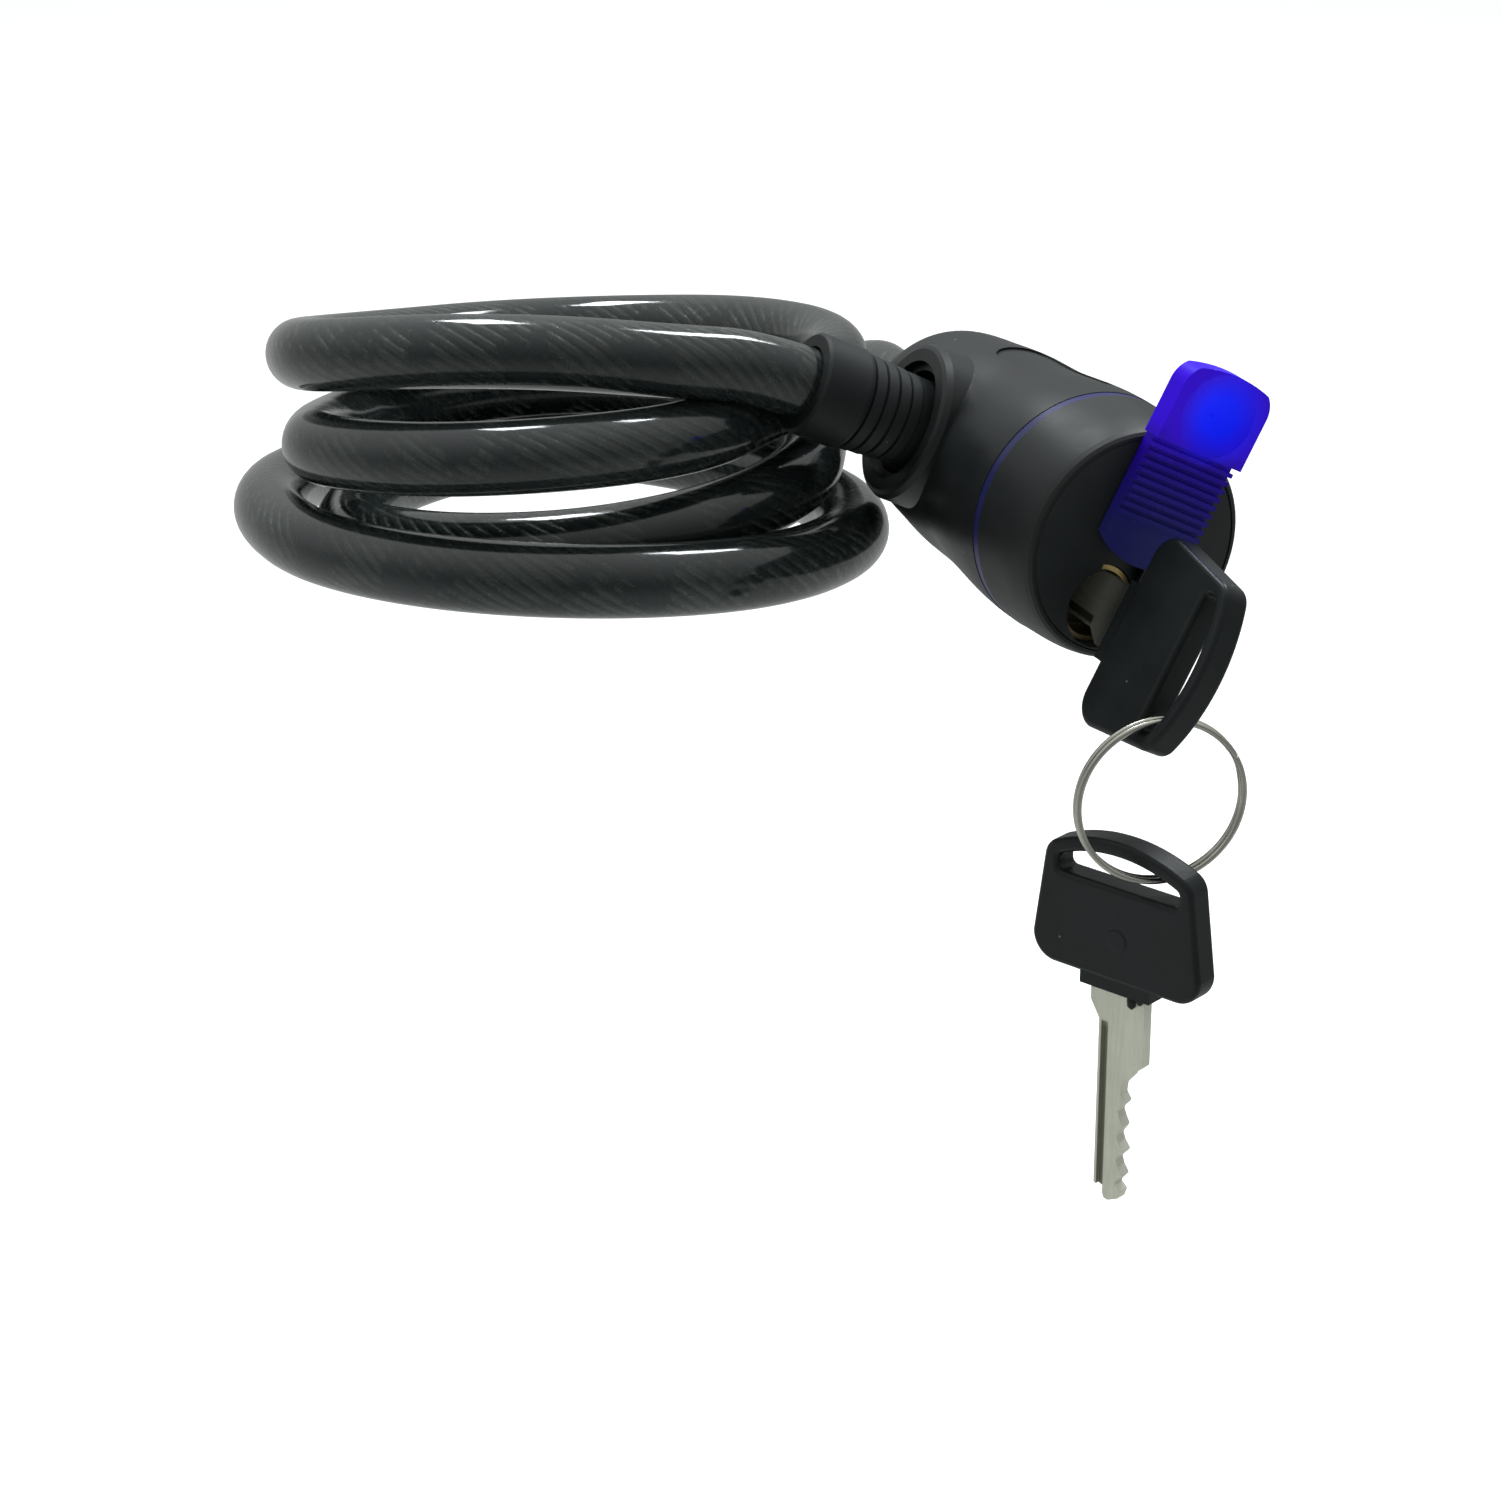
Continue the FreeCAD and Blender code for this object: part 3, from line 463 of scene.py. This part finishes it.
def deep_brass(name, bright, dark, low, high):
    """Turned brass, bright at its front lip, with shade painted dark farther in and below the key's line."""
    material, tree, shader = new_material(name, Metallic=1.0)
    space = object_space(tree, HEAD)
    marks = noise(tree, object_space(tree, HEAD, (1, 1, 0.15)), TOOL_GRAIN, 3.0, 0.6)
    broad = noise(tree, space, 140.0, 4.0)
    spot = node(tree, "SeparateXYZ", {0: space})
    depth = maths(tree, "ADD", spot.outputs["Z"], remap(tree, broad, 0.3, 0.7, -0.0006, 0.0006))
    # Painted shade: the brass darkens deeper in along the head's Z, and below the key's line on the head's
    # Y.
    upper = remap(tree, spot.outputs["Y"], KEY_Y, KEY_Y + 0.004, 0.12, 1.0)
    painted_lit_share = maths(tree, "MULTIPLY", remap(tree, depth, low, high, 0.0, 1.0), upper)
    shade = blend_colour(tree, painted_lit_share, dark, bright)
    shade = blend_colour(tree, remap(tree, broad, 0.35, 0.7, 0.4, 0.0), shade, scaled(dark, 0.8))
    tree.links.new(shade, shader.inputs["Base Color"])
    tree.links.new(remap(tree, marks, 0.3, 0.7, 0.26, 0.42), shader.inputs["Roughness"])
    tree.links.new(bump(tree, marks, 0.000006), shader.inputs["Normal"])
    return material


def floor_material():
    """A pale sweep of board, a little uneven in tone."""
    material, tree, shader = new_material("studio_floor", Roughness=0.9)
    tone = noise(tree, object_space(tree), 2.0, 2.0)
    tree.links.new(blend_colour(tree, tone, rgb(0.93, 0.93, 0.93), rgb(0.97, 0.97, 0.97)),
                   shader.inputs["Base Color"])
    return material


BLACK = rgb(0.0082, 0.0101, 0.0105)
DISH = (0.0012, 0.0245, 0.0185)      # the middle of the cover's thumb dish, in the head's frame
MATERIALS = {
    "shell": moulded("shell_black", BLACK, 0.42),
    "front": moulded("front_shell_black", BLACK, 0.47),
    "face": moulded("face_black", scaled(BLACK, 1.5), 0.52, dust=0.04),
    "grip": moulded("grip_black", scaled(BLACK, 1.15), 0.56, grain=900.0, depth=0.00002),
    "liner": moulded("liner_black", scaled(BLACK, 0.8), 0.5),
    "grommet": moulded("grommet_black", BLACK, 0.55, grain=900.0),
    "bow": moulded("bow_black", scaled(BLACK, 1.25), 0.38, grain=700.0, depth=0.00003, dust=0.05,
                   sheen=0.22),
    "seam": moulded("seam_blue", rgb(0.012, 0.014, 0.075), 0.36, dust=0.0),
    "jacket": jacket_material(),
    "rope": rope_material(),
    "cover": cover_material(),
    # Painted shade: the housing's brass darkens farther into the keyhole, and the plug's core is painted
    # dark all over.
    "brass": deep_brass("housing_brass", rgb(0.66, 0.5, 0.2), rgb(0.1, 0.085, 0.055), 0.0108, 0.0122),
    "core": deep_brass("core_brass", rgb(0.075, 0.068, 0.052), rgb(0.04, 0.037, 0.03), 0.006, 0.0086),
    "nickel": metal("ring_nickel", rgb(0.6, 0.6, 0.53), 0.26, RING, depth=0.000002),
    # The first key's blade has painted shade at its root, the spare's has none.
    "blade_1": blade_metal("blade_1_nickel", KEY_ONE, 0.9),
    "blade_2": blade_metal("blade_2_nickel", SPARE, 0.0),
    "zinc": metal("body_zinc", rgb(0.36, 0.37, 0.39), 0.45, HEAD, tarnish=0.8),
    "steel": metal("pin_steel", rgb(0.56, 0.56, 0.55), 0.24, PLUG, (1, 1, 0.2)),
}

NODE_MATERIALS = {
    "rear_shell": "shell", "front_shell": "front", "seam_ring": "seam", "face_cap": "face",
    "case_screws": "steel", "lock_body": "zinc", "cylinder_housing": "brass", "key_plug": "core",
    "wafer_tumblers": "core", "tumbler_springs": "steel", "cam": "steel", "retaining_clip": "steel",
    "latch_slider": "steel", "latch_spring": "steel", "socket_liner": "liner",
    "ferrule_plate": "steel", "plate_screws": "steel", "fixed_ferrule": "steel",
    "rear_grommet": "grommet", "cover_detent": "steel", "keyhole_cover": "cover",
    "plug_pin": "steel", "plug_grip": "grip", "plug_ferrule": "steel", "key_bow_1": "bow",
    "key_bow_2": "bow", "key_blade_1": "blade_1", "key_blade_2": "blade_2", "split_ring": "nickel",
    "cable_jacket": "jacket", "wire_rope": "rope"}

for name, piece in nodes.items():
    piece.data.materials.clear()
    piece.data.materials.append(MATERIALS[NODE_MATERIALS[name]])

# ---------------------------------------------------------------- cable

STRANDS = 12
STRAND_CIRCLE = 0.00325
STRAND_RADIUS = 0.00082
STRAND_PITCH = 0.036
CORE_RADIUS = 0.0027
JACKET_SIDES = 36
CORE_SIDES = 8
STRAND_SIDES = 6
JACKET_STEPS = 14       # points along the line for each control point
ROPE_STEPS = 18

jacket_line = line_of(cable_route(JACKET_IN_PLUG, JACKET_IN_HEAD), JACKET_STEPS)
jacket_parts = ([], [])
add_tube(jacket_parts, jacket_line, JACKET_RADIUS, JACKET_SIDES)
jacket = mesh_object("cable_jacket_tube", jacket_parts, MATERIALS["jacket"])
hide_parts("cable_jacket")
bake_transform(jacket)

rope_line = line_of(cable_route(ROPE_IN_PLUG, ROPE_IN_HEAD), ROPE_STEPS)
_, sides, ups, along = moving_frames(rope_line)
rope_parts = ([], [])
add_tube(rope_parts, rope_line, CORE_RADIUS, CORE_SIDES)
for strand in range(STRANDS):
    turn = 2 * math.pi * (strand / STRANDS + along / STRAND_PITCH)
    offset = np.cos(turn)[:, None] * sides + np.sin(turn)[:, None] * ups
    add_tube(rope_parts, rope_line + STRAND_CIRCLE * offset, STRAND_RADIUS, STRAND_SIDES)
rope = mesh_object("wire_rope_strands", rope_parts, MATERIALS["rope"])

# How far out each vertex is from the strands' circle: 1 on a strand's outermost line, -1 innermost.
centres = [np.repeat(rope_line, CORE_SIDES, axis=0)] + [np.repeat(rope_line, STRAND_SIDES, axis=0)] * STRANDS
reach = np.linalg.norm(np.array(rope_parts[0]) - np.vstack(centres), axis=1)
# The rope's material paints shade into the hollows and highlight onto the crests from this value.
crest = rope.data.attributes.new("crest", "FLOAT", "POINT")
crest.data.foreach_set("value", (reach - STRAND_CIRCLE) / STRAND_RADIUS)
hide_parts("wire_rope")
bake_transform(rope)

# ---------------------------------------------------------------- split ring

WIRE_RADIUS = 0.00052
COIL_GAP = 0.0006       # half the distance between the two coils
RING_TURNS = 2.0
CROSSING = math.radians(24)     # the wire steps across from one coil to the next in this angle
CUT_GAP = math.radians(5)       # what the second turn stops short by
CUT_AT = 0.6                    # where round the ring the wire starts, in radians
RING_STEPS = 260
WIRE_SIDES = 14


def ring_line():
    """Two close turns of wire, side by side, that step across at the cut ends."""
    points = []
    total = 2 * math.pi * RING_TURNS - CUT_GAP
    for i in range(RING_STEPS + 1):
        angle = total * i / RING_STEPS
        t = min(max((angle - (2 * math.pi - CROSSING)) / CROSSING, 0.0), 1.0)
        height = COIL_GAP * (2 * (t * t * (3 - 2 * t)) - 1)
        x = RING_MEAN * math.cos(angle + CUT_AT)
        y = RING_MEAN * math.sin(angle + CUT_AT)
        points.append(RING @ Vector((x, y, height)))
    return np.array(points)


ring_parts = ([], [])
add_tube(ring_parts, ring_line(), WIRE_RADIUS, WIRE_SIDES)
ring = mesh_object("split_ring_wire", ring_parts, MATERIALS["nickel"])
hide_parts("split_ring")
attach(ring, "ring")

# ---------------------------------------------------------------- marks left by the bow's mould

# All in the spare key's frame, whose X goes through the bow's thickness.
EJECTOR_HEIGHTS = (0.0023, 0.00256, 0.0026)
EJECTOR_RADII = (0.0019, 0.0019, 0.0016)
EJECTOR_Y = 0.0004
EJECTOR_Z = 0.0074
EJECTOR_SIDES = 28
DRIP_X = 0.0012
DRIP_TOP = -0.0014
DRIP_SHARES = (0.0, 0.4, 0.8, 1.0)      # where along a drip its radii are
DRIP_SIDES = 12

# For each drip of flash: its Y, its length and its radii.
FLASH_DRIPS = [(0.0029, 0.0028, (0.0007, 0.0008, 0.0007, 0.0002)),
               (0.0045, 0.0017, (0.0006, 0.0007, 0.0005, 0.0002))]

disc_parts = ([], [])
disc_line = [SPARE @ Vector((x, EJECTOR_Y, EJECTOR_Z)) for x in EJECTOR_HEIGHTS]
add_tube(disc_parts, np.array(disc_line), EJECTOR_RADII, EJECTOR_SIDES)
disc = mesh_object("bow_2_ejector_mark", disc_parts, MATERIALS["bow"])
drip_parts = ([], [])
for y, length, radii in FLASH_DRIPS:
    drip_line = [SPARE @ Vector((DRIP_X, y, DRIP_TOP - length * t)) for t in DRIP_SHARES]
    add_tube(drip_parts, np.array(drip_line), radii, DRIP_SIDES)
drips = mesh_object("bow_2_mould_flash", drip_parts, MATERIALS["bow"])
for piece in (disc, drips):
    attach(piece, "spare_key")

# ---------------------------------------------------------------- studio

FLOOR_LEVEL = -0.42
FLOOR_CORNERS = [(-9, -6, 0), (9, -6, 0), (9, 14, 0), (-9, 14, 0)]
BOX_TINT = (0.93, 0.97, 1.0)
LAMP_TARGET = Vector((0.02, -0.02, 0.0))
SKY_TINT = rgb(0.97, 1.0, 0.993)
CAMERA_PLACE = (0.03208, -0.66896, 0.2129)
CAMERA_TILT = math.radians(68)
CAMERA_LENS = 97.9      # in mm, as is the sensor
CAMERA_SENSOR = 36.0

floor_mesh = bpy.data.meshes.new("studio_floor")
floor_mesh.from_pydata(FLOOR_CORNERS, [], [(0, 1, 2, 3)])
floor_mesh.materials.append(floor_material())
floor = bpy.data.objects.new("studio_floor", floor_mesh)
floor.location = (0, 0, FLOOR_LEVEL)
floor.visible_glossy = False
scene.collection.objects.link(floor)


def soft_box(name, direction, distance, width, length, radiance, tint=(1, 1, 1)):
    """A rectangular lamp that looks at the target, with the brightness of its face given."""
    data = bpy.data.lights.new(name, "AREA")
    data.shape = "RECTANGLE"
    data.size = width
    data.size_y = length
    data.energy = radiance * math.pi * width * length
    data.color = tint
    lamp = bpy.data.objects.new(name, data)
    way = Vector(direction).normalized()
    lamp.location = LAMP_TARGET + way * distance
    lamp.rotation_euler = (-way).to_track_quat("-Z", "Y").to_euler()
    scene.collection.objects.link(lamp)
    return lamp


soft_box("box_left", (-0.17, 0.485, 0.858), 1.0, 0.16, 0.34, 24.0, BOX_TINT)
soft_box("box_right", (0.37, 0.478, 0.797), 1.0, 0.17, 0.34, 22.0, BOX_TINT)
overhead = soft_box("overhead", (0.0, 0.62, 0.95), 2.6, 2.6, 2.0, 3.3)
overhead.visible_glossy = False

# The room is brightest overhead, a little brighter on the left and below, and dimmer in front.
world = bpy.data.worlds.new("studio")
world.use_nodes = True
scene.world = world
sky = world.node_tree
background = sky.nodes["Background"]
heading = node(sky, "SeparateXYZ", {0: node(sky, "TexCoord").outputs["Generated"]})
strength = maths(sky, "ADD", remap(sky, heading.outputs["Z"], 0.1, 0.95, 0.34, 0.95),
                 remap(sky, heading.outputs["X"], -0.9, 0.2, 0.14, 0.0))
strength = maths(sky, "MULTIPLY", strength, remap(sky, heading.outputs["Y"], -1.0, 0.0, 0.5, 1.0))
strength = maths(sky, "ADD", strength, remap(sky, heading.outputs["Z"], -0.6, -0.1, 0.2, 0.0))
sky.links.new(strength, background.inputs["Strength"])
background.inputs["Color"].default_value = SKY_TINT

camera_data = bpy.data.cameras.new("camera")
camera_data.lens = CAMERA_LENS
camera_data.sensor_width = CAMERA_SENSOR
camera_data.clip_start = 0.01
camera_data.clip_end = 50.0
camera = bpy.data.objects.new("camera", camera_data)
camera.location = CAMERA_PLACE
camera.rotation_euler = (CAMERA_TILT, 0, 0)
scene.collection.objects.link(camera)
bpy.context.scene.camera = camera
scene.view_settings.view_transform = "Standard"
